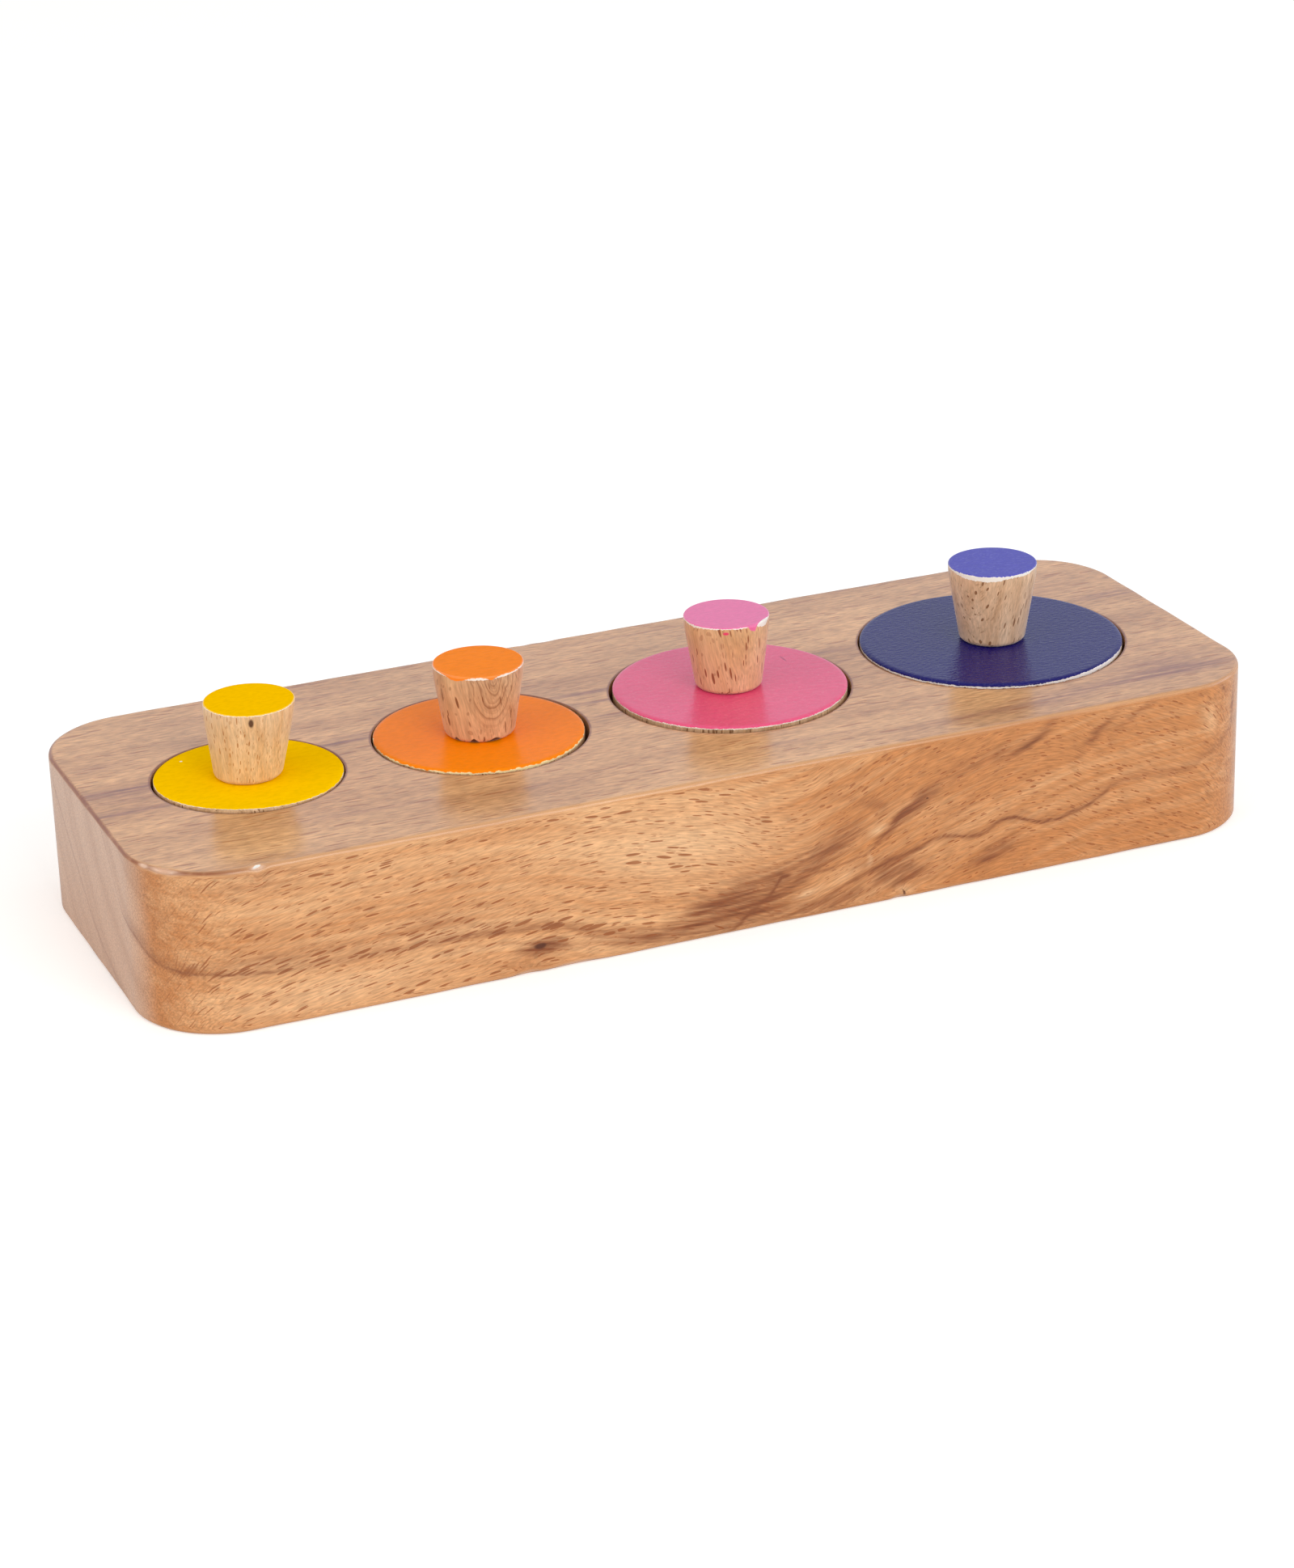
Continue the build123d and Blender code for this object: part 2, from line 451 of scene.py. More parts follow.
crease_line = [
    (135.5, 0), (138.5, 1.6), (141.5, 4.2), (144, 5.6), (146.5, 7.4), (148.5, 9.8), (149.8, 12.5),
]
branch_line = [
    (159, 11), (165, 11.8), (171.5, 13.2), (173.5, 14.8), (176, 17), (179, 19.5), (181.5, 22),
]
grain_lines = [
    (ring_line, 4.5, 1.6, (-30, 106), 0.3),
    (ring_line, 0.9, 0.6, (-60, 34), 0.34),
    (ring_line, 1.4, 1.2, (60, 104), 0.2),
    (second_ring, 1.2, 1.6, (-96, -28), 0.3),
    (knot_line, 1.2, 0.8, (60, 104), 0.3),
    (wave_line, 0.9, 0.8, (152, 240), 0.5),
    (wave_line, 3.0, 1.5, (155, 295), 0.3),
    (branch_line, 0.6, 0.7, (157, 184), 0.5),
    (crease_line, 1.4, 1.1, (133, 153), 0.85),
]
# Where the flecks crowd together along the ring line, laid out like the lines
fleck_crowd = (ring_line, 5.0, 1.6, (-6, 118), 0.22)
# Dark clouds where the grain swirls, and pale places: reach, height, turn in degrees, half length,
# half width and strength
dark_places = [
    (136, 6.5, 5, 17, 9.5, 1.05), (143, 10.5, 25, 11, 6.5, 0.5), (126, 3.5, 5, 15, 5, 0.3),
    (150, 4, 20, 13, 6, 0.45), (156, 13.5, 25, 16, 6.5, 0.75), (168, 19.5, 28, 14, 6, 0.5),
    (177.6, 18.4, 42, 8, 2.2, 1.0), (184, 23.2, 35, 9, 3.2, 0.8), (191, 27, 30, 14, 6, 0.45),
    (163.5, 2.5, 10, 22, 5.5, 0.7), (139, 5, 15, 9, 4, 0.6), (145, 9, 45, 7, 3, 0.5),
    (181, 7.5, -10, 12, 6, 1.0), (176, 25, -45, 9, 4, 0.25), (167, 28, -20, 12, 2.2, 0.45),
    (206, 32, 15, 14, 4.5, 0.55), (217, 35, 35, 14, 2.5, 0.65), (233, 33, 42, 16, 2.5, 0.7),
    (243, 35.5, 30, 14, 2.3, 0.6), (207, 9, 15, 10, 3.6, 0.6), (203, 5.5, 8, 13, 3, 0.6),
    (90.5, 6.2, -5, 8, 3, 1.1), (104, 7, -12, 22, 5, 0.42), (114, 3, -3, 21, 5, 0.45),
    (84, 3.2, 0, 13, 6, 0.4), (26, 16.8, -3, 28, 4.4, 0.5), (64, 17.5, 0, 32, 5.2, 0.45),
    (24, 36, 0, 34, 7, 0.4), (277, 31, 82, 10, 2.4, 0.75), (270, 37, -35, 8, 1.8, 0.65),
    (196, 19, 20, 16, 7, 0.35), (-9, 22, 90, 30, 16, 0.2), (-5, 28, -55, 18, 9, 0.15),
    (170, 10.5, 20, 9, 1.4, 0.5), (155, 10, 20, 7, 1.2, 0.5), (-57, 14, 60, 4, 1.6, 0.9),
]
pale_places = [
    (40, 6, 0, 44, 8, 0.6), (174.5, 18.8, 25, 4.5, 2, 0.6), (156, 6.4, 12, 6, 1.8, 0.7),
    (166, 9, 20, 9, 2.8, 0.4), (172.4, 11.6, 80, 3.2, 1.3, 0.45), (181, 2.6, -20, 6.5, 2.4, 0.5),
    (124, 25, -8, 55, 18, 0.6), (264, 30.5, -55, 9, 6, 0.5),
]
# The knot at the foot and the halo round it, a short crack and a speck
knots = [
    (89.5, 6.5, 0, 1.7, 0.9, 1.1), (89.5, 6.5, 0, 5.0, 2.4, 0.45), (181.2, 1.5, -62, 1.8, 0.5, 1.2),
    (187.5, 24.2, 0, 0.5, 0.4, 1.0),
]
# A nick in the lacquer on the front's top arris, with a painted glint that makes it near white
nick_and_glint = [(23.5, 38.85, 8, 1.0, 0.42, 1.5)]
# Mauve streaks on the top, laid out like the places, in mm from the left and from the middle line
top_streaks = [
    (14, 4.5, 0, 46, 3.4, 0.75), (8, -8, 1, 44, 3.2, 0.85), (52, -31, 0, 42, 4.5, 0.6),
    (64, 10, 0, 16, 3, 0.6), (128, 13, 0, 22, 2.4, 0.8), (127, 6, 0, 20, 2.2, 0.7),
    (190, 12, 0, 16, 3, 0.7), (188, 4, 0, 16, 2.4, 0.5), (272, 16, 0, 20, 3.2, 0.8),
    (230, -41, 3, 60, 5, 0.7), (60, 40, 0, 60, 2.5, 0.5), (150, 44, 0, 60, 2.2, 0.4),
    (8, 20, 0, 14, 6, 0.5), (10, 0, 0, 20, 7, 0.6), (69, 11, 0, 14, 6, 0.6),
    (262, -34, 0, 32, 13, 0.75), (128, -3, 0, 7, 1.0, 1.0), (97, -36, 0, 30, 3, 0.5),
    (160, -38, 0, 40, 4, 0.5), (265, -20, 4, 26, 4, 0.45),
]

# How each pattern wanders, in mm: the size of the noise, and twice the most that it moves a place
wall_wander = ((9, 3.5, 5), (3.0, 1.6, 0))
line_wander = ((6, 3, 5), (0, 1.0, 0))
fleck_wander = ((35, 12, 12), (0, 4.5, 4.5))
band_wander = ((40, 12, 12), (0, 3, 3))
streak_wander = ((30, 5, 5), (8, 3, 0))
arc_wander = ((20, 20, 20), (0, 9, 9))
drilled_wander = ((45, 14, 14), (0, 7, 7))
# The sizes in mm of the stripes, the patches and the end grain's arcs, and what the arcs lie round
stripe_size = (14, 1.2, 0.9)
patch_size = (50, 22, 16)
arc_size = (6, 200, 1)
arc_heart = (0, -55.8, 68)
# The sizes in mm of the gaps in the top's streaks and in the lines, and of uneven scorch
streak_gaps = (28, 1.3, 6)
line_gaps = (3, 0.5, 0.5)
scorch_patches = (3, 3, 3)
# How much the stripes thin a dark cloud and the gaps a line, each with what is left between them,
# and the gains that make a chip and a nick with its painted glint whole at once
cloud_share = (0.75, 0.4)
line_share = (0.9, 0.5)
chip_gain, nick_and_glint_gain = 1.7, 2.5
# Reaches in mm over which the flecks shrink past the swirl, the front darkens to the right, and
# its left corner begins, where the flecks fade and painted shade darkens the ground
swirl_end = (125, 185)
dark_right = (110, 210)
left_corner = (16, -14)
# How much past the swirl the flecks shrink, and how bold the small ones are before it and how much
# bolder past it. How bold all are on flats, walls and the end grain, and how much they fade at the
# left corner, which is also how deep the painted shade is there.
swirl_shrink = 0.2
small_boldness, small_gain = 0.5, 0.5
flat_boldness, wall_boldness, end_boldness = 0.54, 0.8, 0.15
corner_fade_and_shade = 0.7
# Normals whose X is over the first number are end grain, and ones whose Y goes over the next two
# turn to the back. The last two are the figure's drawing out on the flats, across and along.
end_from = 0.86
back_from, back_full = 0.1, 0.9
flat_across, flat_along = 0.5, 0.6
# How much the bands, patches and stripes each darken the ground, and the front's least and most
# darkening to the right, with what is taken off again on the front and on the top
band_weight, patch_weight, stripe_weight = 0.5, 0.3, 0.3
least_dark, most_dark = 0.05, 0.5
front_offset, top_offset = 0.15, 0.13
# How deep the flecks and the fibres sink under the lacquer
lacquered_relief = (0.02 * mm, 0.006 * mm)
# A line fades out over the last fifth of its half length, and a sum of ovals is stepped smoothly
# from the first number to the second
line_kept = 0.8
oval_step = (0.08, 0.9)


def path_height(tree, reach, path):
    """The height in mm, at a reach, of a smooth curve through the path's points, level past its ends."""
    start, end = path_reach
    share = add(tree, "MapRange", {"Value": reach, "From Min": start, "From Max": end})
    height = add(tree, "FloatCurve", {"Value": share})
    mapping = height.node.mapping
    mapping.extend = "HORIZONTAL"
    points = [((x - start) / (end - start), z / path_rise) for x, z in path]
    curve = mapping.curves[0]
    for point in points[1:-1]:
        curve.points.new(*point)
    curve.points[0].location = points[0]
    curve.points[-1].location = points[-1]
    mapping.update()
    return add(tree, "Math", (height, path_rise), operation="MULTIPLY")


def grain_line(tree, reach, height, path, above, below, ends, strength):
    """A line's darkness: its strength on the path, fading out above it, below it and at its ends."""
    half = (ends[1] - ends[0]) / 2
    rise = add(tree, "Math", (height, path_height(tree, reach, path)), operation="SUBTRACT")
    over = {"Value": rise, "From Min": above, "From Max": 0, "To Max": strength}
    over = add(tree, "MapRange", over, **smooth)
    under = add(tree, "MapRange", {"Value": rise, "From Min": -below, "From Max": 0}, **smooth)
    off = add(tree, "Math", (reach, ends[0] + half), operation="SUBTRACT")
    off = add(tree, "Math", (off,), operation="ABSOLUTE")
    along = {"Value": off, "From Min": half, "From Max": half * line_kept}
    along = add(tree, "MapRange", along, **smooth)
    line = add(tree, "Math", (over, under), operation="MULTIPLY")
    return add(tree, "Math", (line, along), operation="MULTIPLY")


def soft_places(tree, wall, places):
    """Soft ovals on the wall: a smooth step of the sum of strength * (1 - distance)."""
    total = 0.0
    for reach, height, turn, long_half, short_half, strength in places:
        oval = add(tree, "Mapping", {
            "Vector": wall,
            "Location": (reach, height, 0),
            "Rotation": (0, 0, radians(turn)),
            "Scale": (long_half, short_half, 1),
        }, vector_type="TEXTURE")
        spot = add(tree, "TexGradient", {"Vector": oval}, output="Fac", gradient_type="SPHERICAL")
        total = add(tree, "Math", (spot, strength, total), operation="MULTIPLY_ADD")
    low, high = oval_step
    return add(tree, "MapRange", {"Value": total, "From Min": low, "From Max": high}, **smooth)


# Lacquered beech: the clear satin coat gives one even reflection, and fibres just show in it.
# The end grain is paler and pinker than the long grain, with the rings' arcs across it.
lacquered, tree = new_material("lacquered_beech")
half_length = block_length / 2 / mm
half_width = block_width / 2 / mm
place = place_in_mm(tree)
x, y, z = add(tree, "SeparateXYZ", (place,)).node.outputs
facing = add(tree, "SeparateXYZ", (add(tree, "NewGeometry", output="Normal"),)).node.outputs

# Upright is 1 on the walls and 0 on the flats, end is 1 on the end grain, and fore is 1 on the
# front and the ends and 0 at the back. Reach is X and, round a corner, the way back along the end.
level = add(tree, "Math", (facing[2],), operation="ABSOLUTE")
upright = add(tree, "Math", (1.0, level), operation="SUBTRACT")
endwise = add(tree, "Math", (facing[0],), operation="ABSOLUTE")
end = add(tree, "MapRange", {"Value": endwise, "From Min": end_from}, **smooth)
fore = {"Value": facing[1], "From Min": back_from, "From Max": back_full, "To Min": 1, "To Max": 0}
fore = add(tree, "MapRange", fore, **smooth)
behind = add(tree, "Math", (y, half_width), operation="ADD")
behind = add(tree, "Math", (behind, fore), operation="MULTIPLY")
side = add(tree, "Math", (x,), operation="SIGN")
round_corner = add(tree, "Math", (behind, side), operation="MULTIPLY")
from_left = add(tree, "Math", (x, half_length), operation="ADD")
reach = add(tree, "Math", (from_left, round_corner), operation="ADD")
shown = add(tree, "Math", (upright, fore), operation="MULTIPLY")

# On the flats the figure is drawn out. On the walls it is carried up and down by the flows.
across = add(tree, "Math", (upright, 1 - flat_across, flat_across), operation="MULTIPLY_ADD")
across = add(tree, "Math", (y, across), operation="MULTIPLY")
along = add(tree, "Math", (upright, 1 - flat_along, flat_along), operation="MULTIPLY_ADD")
along = add(tree, "Math", (x, along), operation="MULTIPLY")
flows = dict(flecks=(fleck_flow, along), fibres=(fleck_flow, x), bands=(band_flow, x))
sheared = {}
for name, (flow, run) in flows.items():
    fall = add(tree, "Math", (path_height(tree, reach, flow), upright), operation="MULTIPLY")
    level = add(tree, "Math", (z, fall), operation="SUBTRACT")
    sheared[name] = add(tree, "CombineXYZ", (run, across, level))
front = add(tree, "CombineXYZ", (reach, z))
wall = wandering(tree, front, *wall_wander)
line_place = wandering(tree, front, *line_wander)
line_reach, line_height, _ = add(tree, "SeparateXYZ", (line_place,)).node.outputs

# Flecks shrink past the swirl and grow just over the ring line. They are boldest on the walls,
# less so on the flats and towards the left corner, and faint on the end grain.
front_reach = add(tree, "Math", (reach, upright), operation="MULTIPLY")
past_swirl = {"Value": front_reach, "From Min": swirl_end[0], "From Max": swirl_end[1]}
past_swirl = add(tree, "MapRange", past_swirl)
crowding = grain_line(tree, line_reach, line_height, *fleck_crowd)
crowding = add(tree, "Math", (crowding, shown), operation="MULTIPLY")
shrink = add(tree, "Math", (past_swirl, swirl_shrink), operation="MULTIPLY")
shrink = add(tree, "Math", (shrink, crowding), operation="SUBTRACT")
grain = wandering(tree, sheared["flecks"], *fleck_wander)
fibres = grain_noise(tree, sheared["fibres"], fibre_size)
flecks = ray_flecks(tree, grain, coarse_rays, shrink=shrink)
small_share = add(tree, "Math", (past_swirl, small_gain, small_boldness), operation="MULTIPLY_ADD")
small = add(tree, "Math", (ray_flecks(tree, grain, fine_rays), small_share), operation="MULTIPLY")
flecks = add(tree, "Math", (flecks, small), operation="ADD", use_clamp=True)
# One ramp fades the flecks towards the left corner and lays painted shade on the corner's ground
towards_corner_fade_and_shade = add(tree, "MapRange", {
    "Value": reach,
    "From Min": left_corner[0],
    "From Max": left_corner[1],
    "To Max": corner_fade_and_shade,
}, **smooth)
fading = add(tree, "Math", (towards_corner_fade_and_shade, upright), operation="MULTIPLY")
boldness = add(tree, "MapRange", {"Value": upright, "To Min": flat_boldness, "To Max": wall_boldness})
boldness = add(tree, "Math", (boldness, fading), operation="SUBTRACT", use_clamp=True)
boldness = add(tree, "MapRange", {"Value": end, "To Min": boldness, "To Max": end_boldness})
flecks = add(tree, "Math", (flecks, boldness), operation="MULTIPLY")

# The ground goes from pale to tan by broad bands, patches and narrow stripes. The front darkens
# to the right, painted shade darkens it at the left corner, and the top has mauve streaks.
banded = wandering(tree, sheared["bands"], *band_wander)
bands = grain_noise(tree, banded, band_size)
striped = grain_noise(tree, sheared["bands"], stripe_size)
patches = grain_noise(tree, place, patch_size, low=0.35, high=0.65)
share = add(tree, "Math", (patches, patch_weight), operation="MULTIPLY")
share = add(tree, "Math", (bands, band_weight, share), operation="MULTIPLY_ADD")
share = add(tree, "Math", (striped, stripe_weight, share), operation="MULTIPLY_ADD")
to_right = add(tree, "MapRange", {
    "Value": reach,
    "From Min": dark_right[0],
    "From Max": dark_right[1],
    "To Min": least_dark,
    "To Max": most_dark,
}, **smooth)
front_share = add(tree, "Math", (share, to_right), operation="ADD")
# Painted shade: the ground darkens towards the left corner
front_share = add(tree, "Math", (front_share, towards_corner_fade_and_shade), operation="ADD")
front_share = add(tree, "Math", (front_share, front_offset), operation="SUBTRACT", use_clamp=True)
front_ground = stained(tree, linear("#E0AC7A"), [(front_share, "#BE7C46")])
top_share = add(tree, "Math", (share, top_offset), operation="SUBTRACT", use_clamp=True)
top_plan = wandering(tree, add(tree, "CombineXYZ", (from_left, y)), *streak_wander)
streaks = soft_places(tree, top_plan, top_streaks)
broken = grain_noise(tree, place, streak_gaps, low=0.25, high=0.6)
streaks = add(tree, "Math", (streaks, broken), operation="MULTIPLY")
top_ground = stained(tree, linear("#E2AC76"), [(top_share, "#AC774C"), (streaks, "#93604B")])
ground = add(tree, "Mix", {0: upright, 6: top_ground, 7: front_ground}, 2, data_type="RGBA")

# The front's own marks show on the walls, but not at the back: pale places, dark clouds that the
# stripes run through, broken lines, and knots
dark = add(tree, "Math", (striped, *cloud_share), operation="MULTIPLY_ADD")
dark = add(tree, "Math", (soft_places(tree, wall, dark_places), dark), operation="MULTIPLY")
lines = 0.0
for line in grain_lines:
    line = grain_line(tree, line_reach, line_height, *line)
    lines = add(tree, "Math", (line, lines), operation="ADD")
broken = grain_noise(tree, sheared["bands"], line_gaps)
broken = add(tree, "Math", (broken, *line_share), operation="MULTIPLY_ADD")
lines = add(tree, "Math", (lines, broken), operation="MULTIPLY", use_clamp=True)
pale = soft_places(tree, wall, pale_places)
knotty = soft_places(tree, wall, knots)
pale, dark, lines, knotty = (
    add(tree, "Math", (mark, shown), operation="MULTIPLY") for mark in (pale, dark, lines, knotty)
)

# The rings' arcs on the end grain lie round a heart above the board's front
end_place = wandering(tree, add(tree, "CombineXYZ", (0.0, y, z)), *arc_wander)
arcs = add(tree, "VectorMath", (end_place, arc_heart), output="Value", operation="DISTANCE")
arcs = grain_noise(tree, add(tree, "CombineXYZ", (arcs, x)), arc_size)
end_ground = stained(tree, linear("#D0A485"), [(arcs, "#BA8B6B")])

# Scorch is uneven, and a chip shows fresh wood as soon as the lacquer is off
scorched = add(tree, "Attribute", output="Fac", attribute_name="scorch")
uneven = grain_noise(tree, place, scorch_patches, low=-0.1, high=0.5)
scorched = add(tree, "Math", (scorched, uneven), operation="MULTIPLY")
chipped = add(tree, "Attribute", output="Fac", attribute_name="fresh")
chipped = add(tree, "Math", (chipped, chip_gain), operation="MULTIPLY", use_clamp=True)
# Painted glint: the nick on the front's top arris is drawn near white
nicked_and_glinting = add(tree, "Math", (shown, nick_and_glint_gain), operation="MULTIPLY")
nicked_and_glinting = add(tree, "Math", (soft_places(tree, wall, nick_and_glint), nicked_and_glinting), operation="MULTIPLY", use_clamp=True)

ground = stained(tree, ground, [(pale, "#E6BA8C"), (dark, "#824622")])
ground = add(tree, "Mix", {0: end, 6: ground, 7: end_ground}, 2, data_type="RGBA")
ground = shaded(tree, ground, fibres, first=1.22, last=0.76)
ground = stained(tree, ground, [
    (flecks, "#904A19"),
    (lines, "#804522"),
    (knotty, "#55270F"),
    (scorched, "#7C3605"),
    (chipped, "#DDB598"),
    (nicked_and_glinting, "#E4E2DA"),
])
surface = add(tree, "BsdfPrincipled", {
    "Base Color": ground,
    "Roughness": 0.2,
    "IOR": 1.5,
    "Normal": beech_relief(tree, flecks, fibres, *lacquered_relief),
})
add(tree, "OutputMaterial", {"Surface": surface})
block.data.materials.append(lacquered)

# Drilled beech: the same wood bare and dull, a little scorched by the drill
drilled_boldness = 0.5
drilled_relief = (0.03 * mm, 0.02 * mm)
drilled, tree = new_material("drilled_beech")
place = place_in_mm(tree)
grain = wandering(tree, place, *drilled_wander)
flecks = ray_flecks(tree, grain, coarse_rays)
faint = add(tree, "Math", (flecks, drilled_boldness), operation="MULTIPLY")
fibres = grain_noise(tree, grain, fibre_size)
bands = grain_noise(tree, place, band_size)
ground = stained(tree, linear("#B98A60"), [(bands, "#9C6B44")])
ground = shaded(tree, ground, fibres, first=1.08, last=0.86)
surface = add(tree, "BsdfPrincipled", {
    "Base Color": stained(tree, ground, [(faint, "#6E4426")]),
    "Roughness": 0.65,
    "Normal": beech_relief(tree, flecks, fibres, *drilled_relief),
})
add(tree, "OutputMaterial", {"Surface": surface})
block.data.materials.append(drilled)
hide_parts("puzzle_block")
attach(block, "block")


# The cylinders: turned from beech, bare at the sides, their top faces painted over a cream
# primer. Each stands in its socket with its rim a little above the block.

cylinder_foot_round = 0.9 * mm
rim_width = 1.2 * mm
rim_height = 0.5 * mm
cylinder_columns = 480
# Sines of these many humps round a piece make a coat's edge waver, the primer's out of step with
# the paint's. Paint that runs over the rim stands proud, and thins out down the side.
edge_waves = (9, 23, 41, 67, 97)
primer_phase = 1.7
drip_thickness = 0.12 * mm
drip_length = 2.5 * mm


def wrapped(angle):
    """An angle brought to between -pi and pi."""
    return (angle + pi) % (2 * pi) - pi


def coat_edge(angles, level, raggedness, marks, phase):
    """How far a coat reaches past the rim, in metres, at each angle round a turned piece.

    The level wavers as a sum of sines, and each mark adds amount * exp(-(turn / spread)^2) round
    its own bearing.
    """
    waver = sum(np.sin(humps * angles + phase * humps) for humps in edge_waves) / len(edge_waves)
    edge = level + raggedness * waver
    for bearing, spread, amount in marks:
        edge = edge + amount * np.exp(-((wrapped(angles - radians(bearing)) / radians(spread)) ** 2))
    return edge


def lathe(radii, heights, centre, columns, lean=(0, 0)):
    """A grid of rings of the given radii and heights about an axis, and the angles of its columns.

    The axis is upright, or leans by an offset in X and Y per height.
    """
    angles = np.linspace(0, 2 * pi, columns, endpoint=False)
    rise = np.array(heights) - heights[0]
    x = centre[0] + lean[0] * rise[:, None] + np.outer(radii, np.cos(angles))
    y = centre[1] + lean[1] * rise[:, None] + np.outer(radii, np.sin(angles))
    z = np.broadcast_to(np.array(heights)[:, None], x.shape)
    return np.stack([x, y, z], axis=-1), angles


def turned_piece(name, profile, rim_row, centre, columns, edges, phase, lean=(0, 0), top_row=None):
    """A turned piece from its profile of (radius, height) rows, with marks in mm for its coats.

    Past is the distance along the profile from the rim's outermost row: more below the rim and
    less on the top face. A coat's mark is its edge less past, so it is above nought where the coat
    is. The mark of glue and of the painted shadow line at the foot is its edge less the height
    above the foot. The second material starts at the top row, where there is one.
    """
    radii, heights = np.array(profile).T
    paint, primer, glue_and_shade = edges
    grid, angles = lathe(radii, heights, centre, columns, lean)
    along = np.concatenate([[0], np.cumsum(np.hypot(np.diff(radii), np.diff(heights)))])
    past = (along[rim_row] - along)[:, None]
    risen = (heights - heights[0])[:, None]
    marks = dict(
        paint=(coat_edge(angles, *paint, phase) - past) / mm,
        primer=(coat_edge(angles, *primer, phase + primer_phase) - past) / mm,
        glue_and_shade=(coat_edge(angles, *glue_and_shade, phase) - risen) / mm,
    )
    drip = np.clip(marks["paint"], 0, 1) * (past > 0) * np.clip(1 - past / drip_length, 0, 1)
    grid[..., 0] += drip * drip_thickness * np.cos(angles)
    grid[..., 1] += drip * drip_thickness * np.sin(angles)
    row = np.arange(len(radii))
    slots = 0.0 * row if top_row is None else (row >= top_row).astype(float)
    return closed_mesh(name, [grid], [marks], [slots])


# Rays as the lathe shows them, laid out like the board's but shallow, so that none shows as a blot,
# and how bold the fine ones are among them
turned_rays = ((5.5, 0.5, 1.1), 0.0, 0.42)
fine_share = 0.4
# The size in mm of the figure's wander, how far it goes, and the size of its tone. Then how bold
# the flecks are, and how deep the flecks and the fibres sink.
turned_wander = ((70, 16, 16), (0, 6, 6))
turned_tone = (60, 4, 4)
turned_boldness = 0.9
turned_relief = (0.015 * mm, 0.01 * mm)


def upright_grain(tree, place):
    """A place with its axes changed round, so that the grain's X runs up the piece."""
    x, y, z = add(tree, "SeparateXYZ", (place,)).node.outputs
    return add(tree, "CombineXYZ", (z, x, y))


def turned_figure(tree, grain, rays, scale):
    """Turned beech's flecks, fibres and a tone that runs in narrow bands, each 0 to 1."""
    wander_size, wander_reach, tone_size = (
        [scale * length for length in lengths] for lengths in (*turned_wander, turned_tone)
    )
    wander = wandering(tree, grain, wander_size, wander_reach)
    flecks = ray_flecks(tree, wander, rays)
    fine = ray_flecks(tree, wander, fine_rays, scale)
    flecks = add(tree, "Math", (fine, fine_share, flecks), operation="MULTIPLY_ADD", use_clamp=True)
    fibres = grain_noise(tree, wander, fibre_size)
    tone = grain_noise(tree, wander, tone_size, detail=3)
    return flecks, fibres, tone


def beech_colour(tree, figure, pale, tan, brown):
    """Beech's colour from its figure: pale to tan by tone, darker along fibres, brown in the flecks."""
    flecks, fibres, tone = figure
    ground = stained(tree, linear(pale), [(tone, tan)])
    ground = shaded(tree, ground, fibres, first=1.14, last=0.8)
    flecks = add(tree, "Math", (flecks, turned_boldness), operation="MULTIPLY")
    return stained(tree, ground, [(flecks, brown)])


# Rings round a heart, in mm: how far they wander, the ovals' proportions, from how far out they
# fade and where they end, and the spacing of the rings
ring_wander = ((5, 5, 7), (3, 3, 3))
ring_ovals = (1, 2, 2.3)
ring_fade = (4.0, 8.5)
ring_spacing = (0.45, 1, 1)
ring_strength = 0.75


def ringed(tree, ground, place, heart, brown):
    """A ground colour with brown rings in ovals round a heart, which fade out away from it."""
    ovals = {"Vector": wandering(tree, place, *ring_wander), "Location": heart, "Scale": ring_ovals}
    ovals = add(tree, "Mapping", ovals, vector_type="TEXTURE")
    distance = add(tree, "VectorMath", (ovals,), output="Value", operation="LENGTH")
    full, gone = ring_fade
    near = {"Value": distance, "From Min": gone, "From Max": full, "To Max": ring_strength}
    near = add(tree, "MapRange", near, **smooth)
    rings = add(tree, "CombineXYZ", (distance,))
    rings = grain_noise(tree, rings, ring_spacing, low=0.45, high=0.7, detail=1)
    share = add(tree, "Math", (rings, near), operation="MULTIPLY")
    return stained(tree, ground, [(share, brown)])


# Paint: the humps of a scraped edge per mm, how far they reach and how far a coat and glue thin out
# at their edges in mm, the size in mm of the brush's orange peel and of pale specks of dust and
# painted sheen, the roughness of what is not painted, and the colour of dried glue, which also
# draws a thin line of painted shadow at a knob's foot
scrape_scale = 2.2
scrape_reach = 0.5
coat_softness = 0.03
glue_and_shade_softness = 0.1
peel_size = (1.6, 0.8, 0.8)
dust_and_sheen_size = (0.7, 0.7, 0.7)
bare_roughness = 0.3
glue_and_shade_brown = "#40190E"


